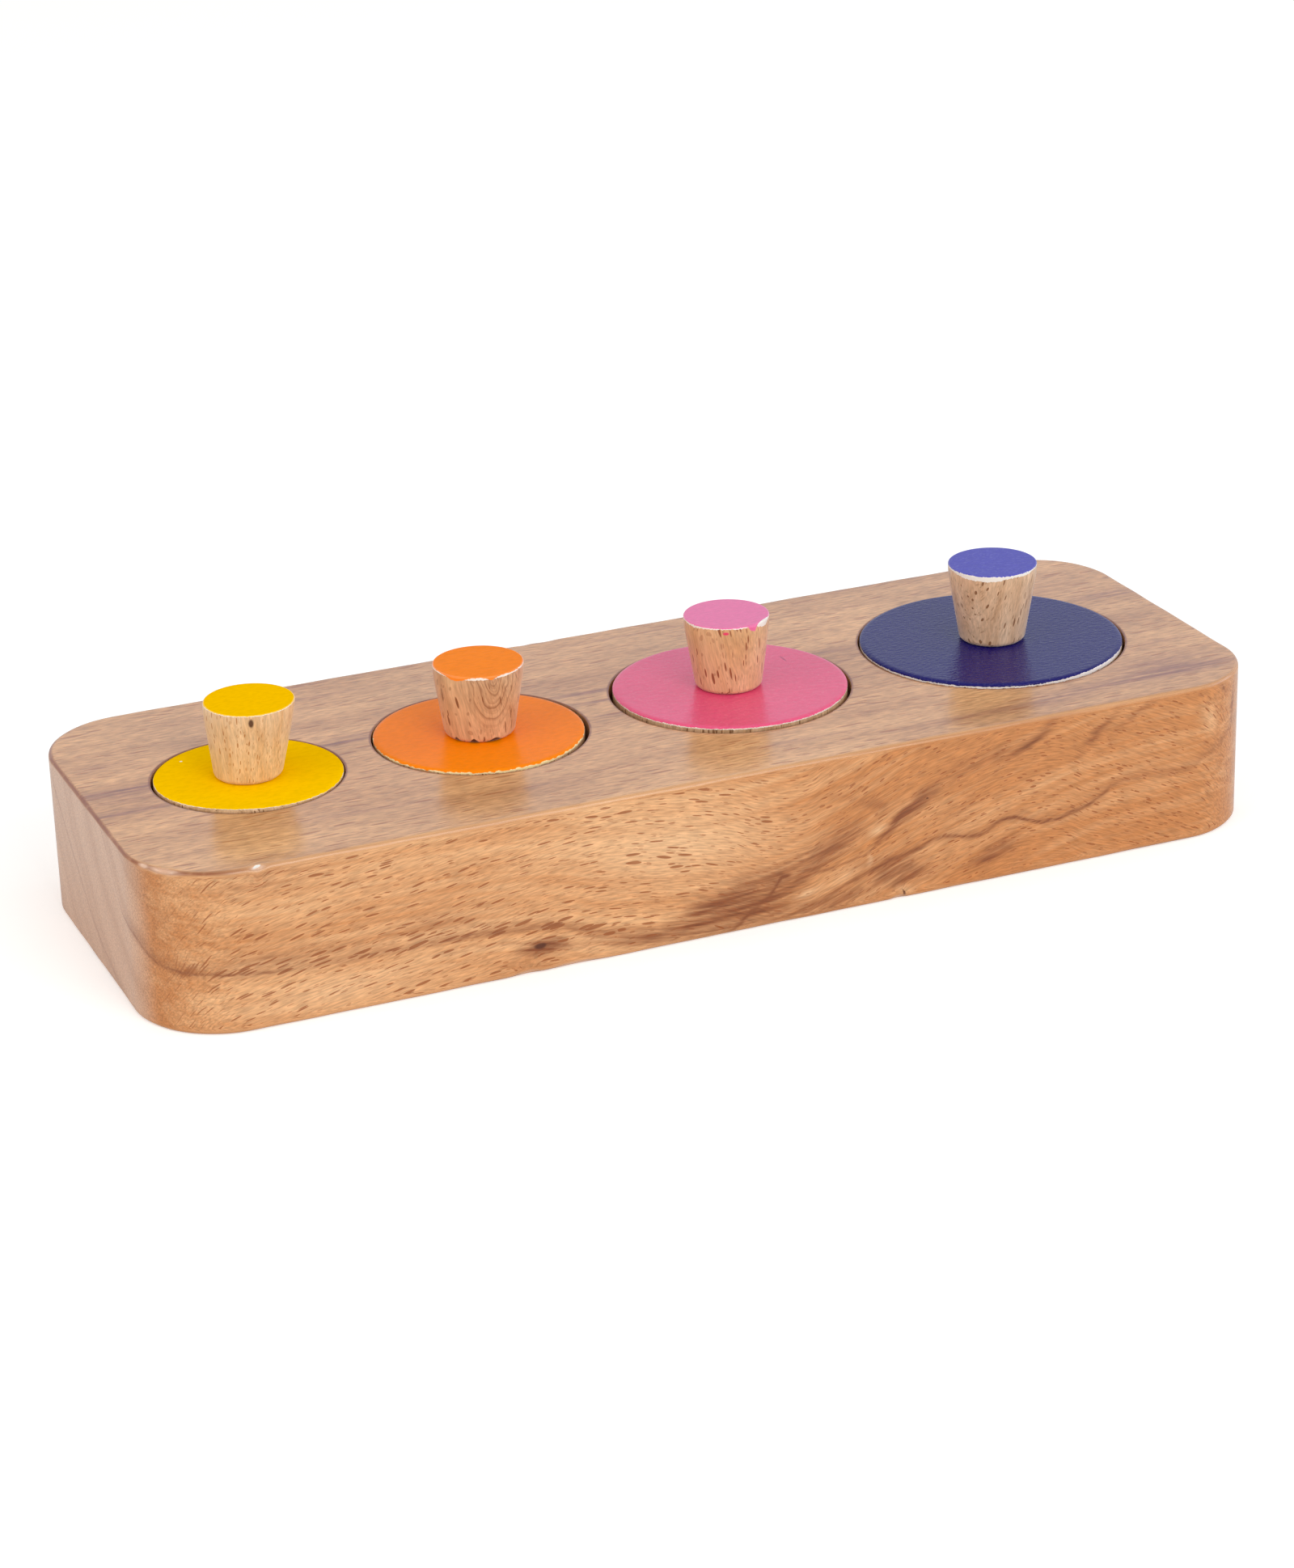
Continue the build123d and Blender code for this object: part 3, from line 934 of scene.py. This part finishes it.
def turned_beech(name, shift, coats, wood, tilt=0.0, dusty=0.0, heart=None, spots=()):
    """Turned beech, its grain upright or tilted a little, under primer and paint where marks say.

    Coats are the paint's colour, the primer's, and the paint's gloss: specular level, roughness,
    depth of peel, and the share of pale specks of dust and painted sheen. Wood is its colours, rays
    and scale. The coats' marks get a fine noise, so that their edges are ragged as scraped paint is.
    A heart is a place that rings lie round, and each spot is an oval: place, half sizes and colour.
    """
    paint_hex, primer_hex, (specular, roughness, peel_depth, dust_and_sheen_share) = coats
    wood_colours, rays, scale = wood
    material, tree = new_material(name)
    place = place_in_mm(tree)
    grain = {"Vector": upright_grain(tree, place), "Location": shift, "Rotation": (0, 0, radians(tilt))}
    grain = add(tree, "Mapping", grain, vector_type="POINT")
    figure = turned_figure(tree, grain, rays, scale)
    ground = beech_colour(tree, figure, *wood_colours)
    if heart:
        ground = ringed(tree, ground, place, heart, wood_colours[2])
    glued_and_shaded = add(tree, "Attribute", output="Fac", attribute_name="glue_and_shade")
    soft_edge = {"Value": glued_and_shaded, "From Min": -glue_and_shade_softness, "From Max": glue_and_shade_softness}
    glued_and_shaded = add(tree, "MapRange", soft_edge)

    ragged = add(tree, "TexNoise", {"Vector": place, "Scale": scrape_scale, "Detail": 3})
    ragged = add(tree, "Math", (ragged, 0.5), operation="SUBTRACT")
    shares = []
    for label in ("primer", "paint"):
        mark = add(tree, "Attribute", output="Fac", attribute_name=label)
        mark = add(tree, "Math", (ragged, scrape_reach, mark), operation="MULTIPLY_ADD")
        soft_edge = {"Value": mark, "From Min": -coat_softness, "From Max": coat_softness}
        shares.append(add(tree, "MapRange", soft_edge))
    primed, painted = shares

    # Painted sheen: the paint is lighter on the peel's humps; its pale specks are dust and painted sheen
    peel = grain_noise(tree, place, peel_size, detail=3)
    dust_and_sheen = grain_noise(tree, place, dust_and_sheen_size, low=0.55, high=0.85)
    dust_and_sheen = add(tree, "Math", (dust_and_sheen, dust_and_sheen_share), operation="MULTIPLY")
    paint = shaded(tree, linear(paint_hex), peel, first=0.93, last=1.05)
    paint = stained(tree, paint, [(dust_and_sheen, "#FFFFFF")])
    # Glue goes on in dark brown, and the same mark lays a thin line of painted shadow at a knob's foot
    colour = stained(tree, ground, [(glued_and_shaded, glue_and_shade_brown), (primed, primer_hex)])
    colour = add(tree, "Mix", {0: painted, 6: colour, 7: paint}, 2, data_type="RGBA")
    for spot_place, half_sizes, spot_hex in spots:
        oval = {"Vector": place, "Location": spot_place, "Scale": half_sizes}
        oval = add(tree, "Mapping", oval, vector_type="TEXTURE")
        inside = add(tree, "TexGradient", {"Vector": oval}, output="Fac", gradient_type="SPHERICAL")
        inside = add(tree, "MapRange", {"Value": inside, "From Max": 0.5}, **smooth)
        colour = stained(tree, colour, [(inside, spot_hex)])

    relief = beech_relief(tree, *figure[:2], *turned_relief)
    coat = add(tree, "Bump", {"Strength": 1, "Distance": peel_depth, "Height": peel})
    gloss = {"Value": painted, "To Min": bare_roughness, "To Max": roughness}
    surface = add(tree, "BsdfPrincipled", {
        "Base Color": colour,
        "Roughness": add(tree, "MapRange", gloss),
        "IOR": 1.5,
        "Specular IOR Level": specular,
        "Sheen Weight": dusty,
        "Sheen Roughness": 0.4,
        "Normal": add(tree, "Mix", {0: painted, 4: relief, 5: coat}, 1, data_type="VECTOR"),
    })
    add(tree, "OutputMaterial", {"Surface": surface})
    return material


side_wood = (("#D9B28C", "#BA9068", "#7A5233"), turned_rays, 0.8)
disc_paint = dict(yellow="#FFC900", orange="#FF8500", pink="#E84C78", blue="#0C025F")
disc_primer = dict(yellow="#EFE6D6", orange="#F6DEA6", pink="#EFE6D6", blue="#EFE6E0")
disc_gloss = dict(
    yellow=(0.0, 0.5, 0.010 * mm, 0.0),
    orange=(0.05, 0.25, 0.02 * mm, 0.01),
    pink=(0.42, 0.22, 0.03 * mm, 0.06),
    blue=(0.2, 0.22, 0.05 * mm, 0.05),
)
# The edges of the paint, of the primer and of glue with the painted shadow line at a knob's foot,
# each as its level past the rim, its raggedness and marks of (bearing in degrees, spread in degrees,
# amount)
no_glue_or_shade = (-1.0 * mm, 0, [])
disc_edges = dict(
    yellow=(
        (-0.15 * mm, 0.08 * mm, [(-118, 42, -0.8 * mm)]),
        (-0.1 * mm, 0.06 * mm, [(-118, 42, -0.7 * mm)]),
        no_glue_or_shade,
    ),
    orange=((-0.15 * mm, 0.35 * mm, []), (0.1 * mm, 0.25 * mm, [(-82, 28, 0.35 * mm)]), no_glue_or_shade),
    pink=((-0.05 * mm, 0.08 * mm, []), (0.18 * mm, 0.08 * mm, []), no_glue_or_shade),
    blue=(
        (0.2 * mm, 0.12 * mm, [(-58, 24, -0.45 * mm)]),
        (0.55 * mm, 0.2 * mm, [(-58, 26, 0.3 * mm)]),
        no_glue_or_shade,
    ),
)
# A speck of primer on the yellow face and a scratch on the pink one
disc_spots = dict(
    yellow=[((-113.2, 14.0, 39.7), (0.45, 0.45, 0.45), "#FFF6DC")],
    pink=[((38.4, 9.2, 40.3), (0.35, 2.4, 1.0), "#B8285A")],
)


def cylinder_profile(radius, foot, top):
    """A cylinder's half outline as (radius, height) rows, and the number of its rim's first row.

    The foot is a quarter round, the side is straight and the rim is a quarter ellipse.
    """
    foot_round = cylinder_foot_round
    turn = np.radians([0, 22, 45, 68, 90])
    roll = np.radians([0, 10, 20, 32, 45, 58, 70, 80, 90])
    side = np.linspace(foot + foot_round + 0.4 * mm, top - rim_height - 3 * mm, 6)
    close = top - rim_height - np.array([2.0, 1.5, 1.0, 0.7, 0.4, 0.2]) * mm
    inwards = radius - rim_width - np.array([0.3, 0.8, 2.0]) * mm
    rows = [(0, foot), (radius * 0.5, foot), (radius - 2 * foot_round, foot)]
    rows += [(radius - foot_round * (1 - sin(t)), foot + foot_round * (1 - cos(t))) for t in turn]
    rows += [(radius, z) for z in (*side, *close)]
    rim_row = len(rows)
    rows += [(radius - rim_width * (1 - cos(t)), top - rim_height * (1 - sin(t))) for t in roll]
    rows += [(r, top) for r in (*inwards, *np.linspace(radius * 0.85, radius * 0.2, 6), 0)]
    return rows, rim_row


for number, colour in enumerate(colours):
    low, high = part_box(colour + "_cylinder")
    profile, rim_row = cylinder_profile((high[0] - low[0]) / 2, low[2], high[2])
    centre = ((low[0] + high[0]) / 2, 0)
    edges = disc_edges[colour]
    disc = turned_piece(
        colour + "_painted_cylinder", profile, rim_row, centre, cylinder_columns, edges, number + 1.0
    )
    shift = (0, 40 * number, 17 * number)
    coats = (disc_paint[colour], disc_primer[colour], disc_gloss[colour])
    spots = disc_spots.get(colour, ())
    finish = turned_beech(colour + "_gloss_paint_on_beech", shift, coats, side_wood, spots=spots)
    disc.data.materials.append(finish)
    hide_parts(colour + "_cylinder")
    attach(disc, colour + "_piece")


# The knobs: turned from beech to a flare that stands nearly upright under the top, rounded at the
# foot and painted on the top face alone. Each is pinned and glued to its cylinder, not quite true.

knob_columns = 360
knee_depth = 2.3 * mm
knee_softness = 1.2 * mm
knob_rim = 0.3 * mm
knob_roll = np.radians([0, 22, 45, 68, 90])
foot_diameter = dict(yellow=15.7 * mm, orange=16.4 * mm, pink=16.0 * mm, blue=16.0 * mm)
knob_foot_round = 1.5 * mm
# How far the top of each knob stands from over its foot along X, and the share of that by which
# the foot stands off the middle of the CAD's knob
lean_over = dict(yellow=1.3 * mm, orange=0.3 * mm, pink=-0.3 * mm, blue=0.0 * mm)
foot_share = 0.7


def knob_profile(top_radius, foot_radius, foot, top):
    """A knob's half outline as (radius, height) rows, and the number of its rim's first row.

    Below its top the radius falls by slope * soft(depth - knee), where soft(u) is
    (sqrt(u^2 + softness^2) + u) / 2. The foot and the rim are quarter rounds.
    """
    height = top - foot
    slope = (top_radius - foot_radius) / (height - knee_depth)
    depth = np.concatenate([
        np.linspace(height - knob_foot_round, 3 * mm, 24),
        np.array([2.5, 2.0, 1.5, 1.2, 0.9, 0.7, 0.5]) * mm,
    ])
    past_knee = depth - knee_depth
    radius = top_radius - slope * (np.sqrt(past_knee**2 + knee_softness**2) + past_knee) / 2
    turn = np.radians([0, 15, 30, 45, 60, 75])
    start = radius[0] - knob_foot_round
    rows = [(0, foot), (radius[0] * 0.5, foot)]
    rows += [(start + knob_foot_round * sin(t), foot + knob_foot_round * (1 - cos(t))) for t in turn]
    rows += list(zip(radius, top - depth))
    rim_row = len(rows)
    edge = radius[-1]
    rows += [(edge - knob_rim * (1 - cos(t)), top - knob_rim * (1 - sin(t))) for t in knob_roll]
    rows += [(edge * share, top) for share in (0.94, 0.88, 0.8, 0.6, 0.4, 0.2, 0)]
    return rows, rim_row


knob_paint = dict(yellow="#FFC400", orange="#FF891A", pink="#EA6DA0", blue="#4340AC")
knob_primer = "#F1EADF"
knob_gloss = dict(
    yellow=(0.0, 0.5, 0.008 * mm, 0.0),
    orange=(0.02, 0.35, 0.03 * mm, 0.0),
    pink=(0.4, 0.35, 0.012 * mm, 0.06),
    blue=(0.3, 0.4, 0.03 * mm, 0.1),
)
# Each knob's wood: its colours, its own rays, laid out like the board's, and its figure's scale.
# Then how far its grain leans, in degrees, and the gloss and bloom of its bare side.
knob_wood = dict(
    yellow=(("#E9C497", "#DBAF7D", "#B2743A"), ((2.8, 0.3, 0.6), -0.05, 0.4), 0.55),
    orange=(("#E2B78D", "#C29168", "#7C4524"), ((7.0, 0.5, 1.3), -0.02, 0.42), 0.8),
    pink=(("#E2B78C", "#CF9F6E", "#86441F"), ((5.4, 0.5, 1.3), 0.0, 0.44), 1.0),
    blue=(("#E6C29F", "#CCA27C", "#835632"), ((4.0, 0.55, 1.3), -0.02, 0.4), 0.8),
)
knob_tilt = dict(yellow=0, orange=14, pink=11, blue=-8)
bare_specular = 0.5
dusty_sheen = 0.3
# The edges of paint, primer and glue, as on the cylinders. Every foot has a thin dark line of
# painted shadow, and glue is squeezed out at the orange foot.
painted_foot_shadow = (-0.1 * mm, 0.08 * mm, [])
knob_edges = dict(
    yellow=((-0.2 * mm, 0.04 * mm, []), (-0.1 * mm, 0.05 * mm, []), painted_foot_shadow),
    orange=(
        (-0.15 * mm, 0.12 * mm, [(-140, 14, 1.0 * mm), (-93, 7, 0.7 * mm)]),
        (0.1 * mm, 0.12 * mm, [(-105, 40, 0.35 * mm)]),
        (-0.1 * mm, 0.05 * mm, [(-151, 6, 1.3 * mm), (-120, 7, 1.4 * mm), (-84, 12, 1.25 * mm)]),
    ),
    pink=(
        (-0.1 * mm, 0.06 * mm, [(-73, 4, 1.5 * mm), (-79, 3.5, 1.0 * mm), (-52, 12, -0.5 * mm)]),
        (0.1 * mm, 0.2 * mm, [(-54, 14, 1.0 * mm), (-160, 14, 0.4 * mm)]),
        painted_foot_shadow,
    ),
    blue=(
        (-0.1 * mm, 0.1 * mm, []),
        (0.15 * mm, 0.15 * mm, [(-125, 32, 1.0 * mm), (-160, 20, 0.4 * mm), (-70, 14, 0.4 * mm)]),
        painted_foot_shadow,
    ),
)
# The heart of the rings on the orange knob, a pin knot on the yellow one near its top, and a drop
# of paint on the pink one
knob_hearts = dict(orange=(-44.2, -9.0, 58.0))
knob_spots = dict(
    yellow=[((-102.8, -9.5, 55.8), (0.8, 2.5, 1.4), "#5C3A20")],
    pink=[((15.1, -9.6, 56.9), (0.9, 2.0, 0.5), "#E23C66")],
)

for number, colour in enumerate(colours):
    low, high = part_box(colour + "_knob")
    radius = (high[0] - low[0]) / 2
    profile, rim_row = knob_profile(radius, foot_diameter[colour] / 2, low[2], high[2])
    lean = (lean_over[colour] / (high[2] - low[2]), 0)
    centre = ((low[0] + high[0]) / 2 - foot_share * lean_over[colour], 0)
    edges = knob_edges[colour]
    top_row = rim_row + len(knob_roll) - 1
    knob = turned_piece(
        colour + "_turned_knob", profile, rim_row, centre, knob_columns, edges, number + 3.0, lean, top_row
    )
    shift = (13 * number, 55 * number, 23 * number + 7)
    paint = (knob_paint[colour], knob_primer, knob_gloss[colour])
    bare = (knob_paint[colour], knob_primer, (bare_specular, *knob_gloss[colour][1:]))
    figured = (knob_tilt[colour], dusty_sheen, knob_hearts.get(colour), knob_spots.get(colour, ()))
    side = turned_beech(colour + "_knob_beech", shift, bare, knob_wood[colour], *figured)
    knob.data.materials.append(side)
    top = turned_beech(colour + "_paint_on_knob", shift, paint, knob_wood[colour])
    knob.data.materials.append(top)
    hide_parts(colour + "_knob")
    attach(knob, colour + "_piece")


# The dowels: fluted beech pins, unfinished, which fix the knobs to the cylinders. They are out of
# sight in the glued joints and stay as in the CAD.

pin_rays = ((2.7, 0.25, 0.5), 0.0, 0.42)
pin_scale = 0.5
pin_relief = (0.02 * mm, 0.02 * mm)
pin, tree = new_material("fluted_beech_pin")
figure = turned_figure(tree, upright_grain(tree, place_in_mm(tree)), pin_rays, pin_scale)
surface = add(tree, "BsdfPrincipled", {
    "Base Color": beech_colour(tree, figure, "#E6C79C", "#D6B084", "#A87C50"),
    "Roughness": 0.7,
    "Normal": beech_relief(tree, *figure[:2], *pin_relief),
})
add(tree, "OutputMaterial", {"Surface": surface})
for colour in colours:
    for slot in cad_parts[colour + "_dowel"].material_slots:
        slot.link = "OBJECT"
        slot.material = pin


# The studio: a pale floor, soft daylight all round, and three broad soft lamps: the key lamp in
# front, a fill at the left and cooler window light at the right.

floor_size = 6.0
floor_drop = 0.05 * mm
floor_lift = 0.34
floor_mesh = bpy.data.meshes.new("floor")
corners = [(floor_size * x, floor_size * y, 0) for x, y in ((-1, -1), (1, -1), (1, 1), (-1, 1))]
floor_mesh.from_pydata(corners, [], [(0, 1, 2, 3)])
floor = bpy.data.objects.new("floor", floor_mesh)
floor.location.z = -floor_drop
bpy.context.scene.collection.objects.link(floor)
pale_floor, tree = new_material("pale_floor")
surface = add(tree, "BsdfDiffuse", {"Color": linear("#F4F2EF")})
lift = add(tree, "LightPath", output="Is Camera Ray")
lift = add(tree, "Math", (lift, floor_lift), operation="MULTIPLY")
glow = add(tree, "Emission", {"Color": linear("#FFFFFF"), "Strength": lift})
add(tree, "OutputMaterial", {"Surface": add(tree, "AddShader", (surface, glow))})
floor_mesh.materials.append(pale_floor)

# Daylight is white and even, and the backdrop is a little brighter and cooler where gloss shows it
ambient = 0.65
backdrop = 1.0
gloss_gain = 0.1
world = bpy.data.worlds.new("soft_daylight")
world.use_nodes = True
world.node_tree.nodes.clear()
tree = world.node_tree
rays = add(tree, "LightPath").node.outputs
glossy = rays["Is Glossy Ray"]
seen = add(tree, "Math", (rays["Is Camera Ray"], glossy), operation="MAXIMUM")
strength = add(tree, "MapRange", {"Value": seen, "To Min": ambient, "To Max": backdrop})
strength = add(tree, "Math", (glossy, gloss_gain, strength), operation="MULTIPLY_ADD")
daylight = stained(tree, linear("#FFFFFF"), [(glossy, "#E7EEFF")])
background = add(tree, "Background", {"Color": daylight, "Strength": strength})
add(tree, "OutputWorld", {"Surface": background})
bpy.context.scene.world = world

# Each lamp: azimuth from the front to the right, elevation, its share of the light, size and colour
lamps = dict(
    key_lamp=(radians(10), radians(27), 0.40, 1.0, "#FFFFFF"),
    fill_lamp=(radians(-80), radians(25), 0.25, 1.2, "#FFFFFF"),
    window_lamp=(radians(75), radians(12), 0.31, 1.2, "#C8E2FF"),
)
lamp_distance = 1.6


def towards(azimuth, elevation):
    """The unit vector from the object at an azimuth from the front to the right and an elevation."""
    return Vector((
        sin(azimuth) * cos(elevation),
        -cos(azimuth) * cos(elevation),
        sin(elevation),
    ))


for name, (azimuth, elevation, share, size, tint) in lamps.items():
    light = bpy.data.lights.new(name, "AREA")
    light.color = linear(tint)[:3]
    light.energy = share * pi**2 * lamp_distance**2
    light.size = size
    lamp = bpy.data.objects.new(name, light)
    lamp.location = towards(azimuth, elevation) * lamp_distance
    lamp.rotation_mode = "QUATERNION"
    lamp.rotation_quaternion = towards(azimuth, elevation).to_track_quat("Z", "Y")
    bpy.context.scene.collection.objects.link(lamp)

# The camera stands where the photographer's did, turned a little about its own axis
camera_azimuth = radians(-22.453)
camera_elevation = radians(22.658)
camera_roll = radians(-1.686)
camera_aim = Vector((-2.35 * mm, 0, 18.28 * mm))
camera_distance = 946.4 * mm
camera_lens = 90.26
camera_sensor = 36
camera_data = bpy.data.cameras.new("camera")
camera_data.lens = camera_lens
camera_data.sensor_width = camera_sensor
camera = bpy.data.objects.new("camera", camera_data)
back = towards(camera_azimuth, camera_elevation)
level = Vector((cos(camera_azimuth), sin(camera_azimuth), 0))
upright = back.cross(level)
right = level * cos(camera_roll) + upright * sin(camera_roll)
up = upright * cos(camera_roll) - level * sin(camera_roll)
turned = Matrix((right, up, back)).transposed().to_4x4()
camera.matrix_world = Matrix.Translation(camera_aim + camera_distance * back) @ turned
bpy.context.scene.collection.objects.link(camera)
bpy.context.scene.camera = camera
bpy.context.scene.view_settings.view_transform = "Standard"
